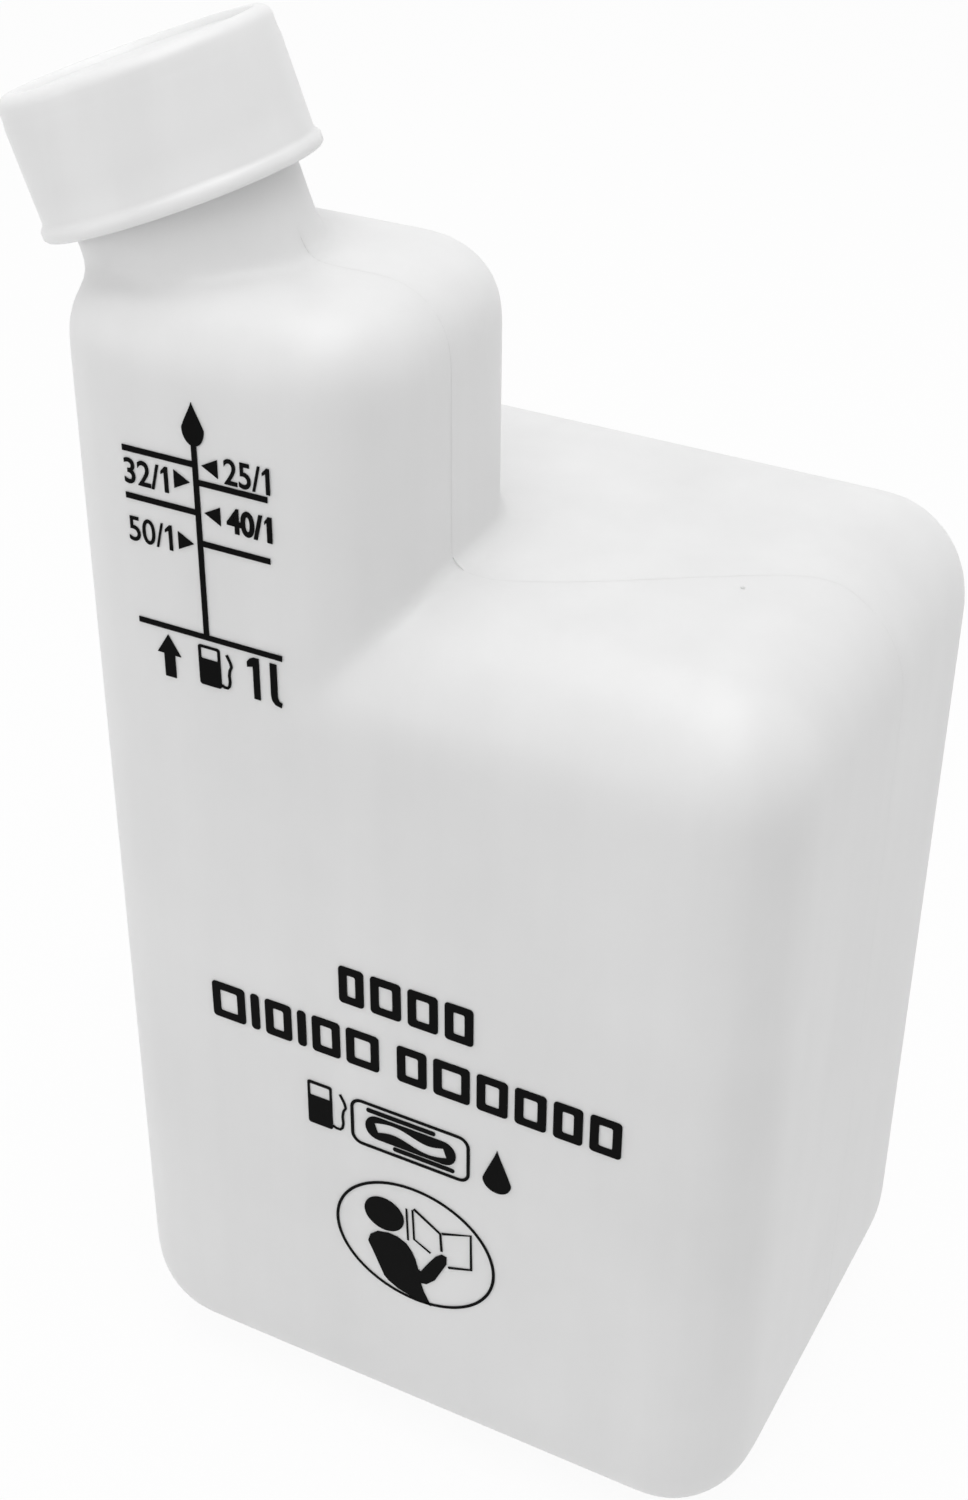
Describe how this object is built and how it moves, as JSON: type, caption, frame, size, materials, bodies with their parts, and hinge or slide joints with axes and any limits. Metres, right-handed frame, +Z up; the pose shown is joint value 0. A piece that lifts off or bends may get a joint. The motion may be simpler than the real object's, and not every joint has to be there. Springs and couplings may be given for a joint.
{
  "type": "fuel mixing bottle",
  "caption": "Translucent white 1 litre fuel mixing bottle with a stepped body, a tower, a leaning neck, a screw cap and a black printed mixing scale.",
  "frame": {"origin": "centre of the flat base", "axes": "+Z up; -Y is the printed front; the tower stands over the corner at -X, -Y, and the neck leans toward -X"},
  "size_m": [0.1145, 0.0802, 0.2092],
  "materials": {
    "bottle_plastic": "natural translucent polyethylene, blow-moulded, soft satin gloss",
    "cap_plastic": "natural translucent polyethylene, injection-moulded, satin gloss",
    "seal_foam": "soft pale foam disc",
    "print_ink": "black screen-printed ink"
  },
  "bodies": {
    "bottle_body": {"bottle": "bottle_plastic", "scale_print": "print_ink", "fill_arrow": "print_ink", "small_pump_mark": "print_ink", "litre_mark": "print_ink", "upper_word_bar": "print_ink", "pump_mark": "print_ink", "hose_frame": "print_ink", "oil_drop": "print_ink", "reader_ring": "print_ink", "reader_head": "print_ink", "reader_book": "print_ink", "reader_body": "print_ink", "lower_word_bar_1": "print_ink", "lower_word_bar_2": "print_ink", "number_bar_25": "print_ink", "pointer_25": "print_ink", "number_bar_32": "print_ink", "pointer_32": "print_ink", "number_bar_40": "print_ink", "pointer_40": "print_ink", "number_bar_50": "print_ink", "pointer_50": "print_ink"},
    "seal_body": {"cap_seal": "seal_foam"},
    "cap_body": {"cap": "cap_plastic"}
  },
  "joints": [
    {"name": "cap_lift", "type": "slide", "parent": "bottle_body", "child": "seal_body", "axis": [-0.3623, 0, 0.9321], "range_m": [0, 0.02]},
    {"name": "cap_turn", "type": "hinge", "parent": "seal_body", "child": "cap_body", "pos_m": [-0.04557, -0.0194, 0.19945], "axis": [-0.3623, 0, 0.9321], "range_deg": [0, 1440]}
  ],
  "couplings": [
    {"joint": "cap_lift", "follows": "cap_turn", "m_per_rad": 0.00079577}
  ]
}
